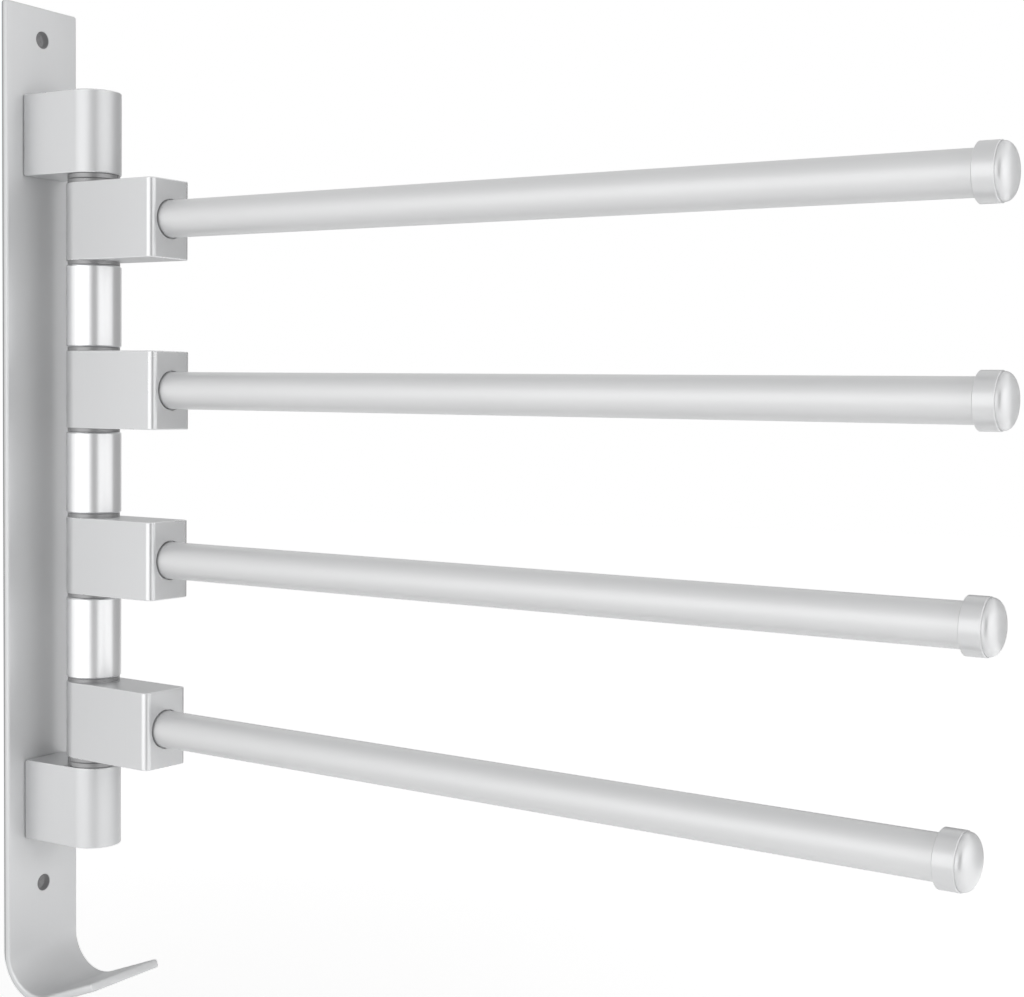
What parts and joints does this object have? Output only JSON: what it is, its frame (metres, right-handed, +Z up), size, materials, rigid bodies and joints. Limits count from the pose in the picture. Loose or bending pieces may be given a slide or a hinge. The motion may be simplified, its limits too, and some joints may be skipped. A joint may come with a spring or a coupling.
{
  "type": "swing arm towel bar",
  "caption": "Wall-mounted swing arm towel bar: round level arms turn on one upright pivot rod held off a strip plate, whose foot bends out into a hook.",
  "frame": {"origin": "midway between the two wall holes, on the plate's back face", "axes": "+Z up, +Y into the wall, so the arms stand out towards -Y; +X runs along the wall, to the right for someone who faces it"},
  "size_m": [0.0498, 0.3718, 0.3719],
  "materials": {
    "satin_aluminium": "satin anodised",
    "bright_aluminium": "polished",
    "steel": "turned, plain",
    "grey_nylon": "moulded, half gloss"
  },
  "bodies": {
    "wall_frame": {"back_plate": "satin_aluminium", "top_bracket": "satin_aluminium", "bottom_bracket": "satin_aluminium", "bracket_screws": "steel", "pivot_rod": "steel", "rod_end_screws": "steel", "top_washer": "grey_nylon", "bottom_washer": "grey_nylon", "spacer_sleeve_1": "bright_aluminium", "spacer_sleeve_2": "bright_aluminium", "spacer_sleeve_3": "bright_aluminium"},
    "arm_1": {"knuckle_1": "satin_aluminium", "upper_bush_1": "grey_nylon", "lower_bush_1": "grey_nylon", "arm_tube_1": "satin_aluminium", "tube_plug_1": "grey_nylon", "tube_screw_1": "steel", "end_cap_1": "bright_aluminium"},
    "arm_2": {"knuckle_2": "satin_aluminium", "upper_bush_2": "grey_nylon", "lower_bush_2": "grey_nylon", "arm_tube_2": "satin_aluminium", "tube_plug_2": "grey_nylon", "tube_screw_2": "steel", "end_cap_2": "bright_aluminium"},
    "arm_3": {"knuckle_3": "satin_aluminium", "upper_bush_3": "grey_nylon", "lower_bush_3": "grey_nylon", "arm_tube_3": "satin_aluminium", "tube_plug_3": "grey_nylon", "tube_screw_3": "steel", "end_cap_3": "bright_aluminium"},
    "arm_4": {"knuckle_4": "satin_aluminium", "upper_bush_4": "grey_nylon", "lower_bush_4": "grey_nylon", "arm_tube_4": "satin_aluminium", "tube_plug_4": "grey_nylon", "tube_screw_4": "steel", "end_cap_4": "bright_aluminium"}
  },
  "joints": [
    {"name": "arm_1_swing", "type": "hinge", "parent": "wall_frame", "child": "arm_1", "pos_m": [0, -0.0293, 0.09085], "axis": [0, 0, 1], "range_deg": [-88.5, 91.5]},
    {"name": "arm_2_swing", "type": "hinge", "parent": "wall_frame", "child": "arm_2", "pos_m": [0, -0.0293, 0.02955], "axis": [0, 0, 1], "range_deg": [-89.5, 90.5]},
    {"name": "arm_3_swing", "type": "hinge", "parent": "wall_frame", "child": "arm_3", "pos_m": [0, -0.0293, -0.03175], "axis": [0, 0, 1], "range_deg": [-88.5, 91.5]},
    {"name": "arm_4_swing", "type": "hinge", "parent": "wall_frame", "child": "arm_4", "pos_m": [0, -0.0293, -0.09305], "axis": [0, 0, 1], "range_deg": [-86, 94]}
  ]
}
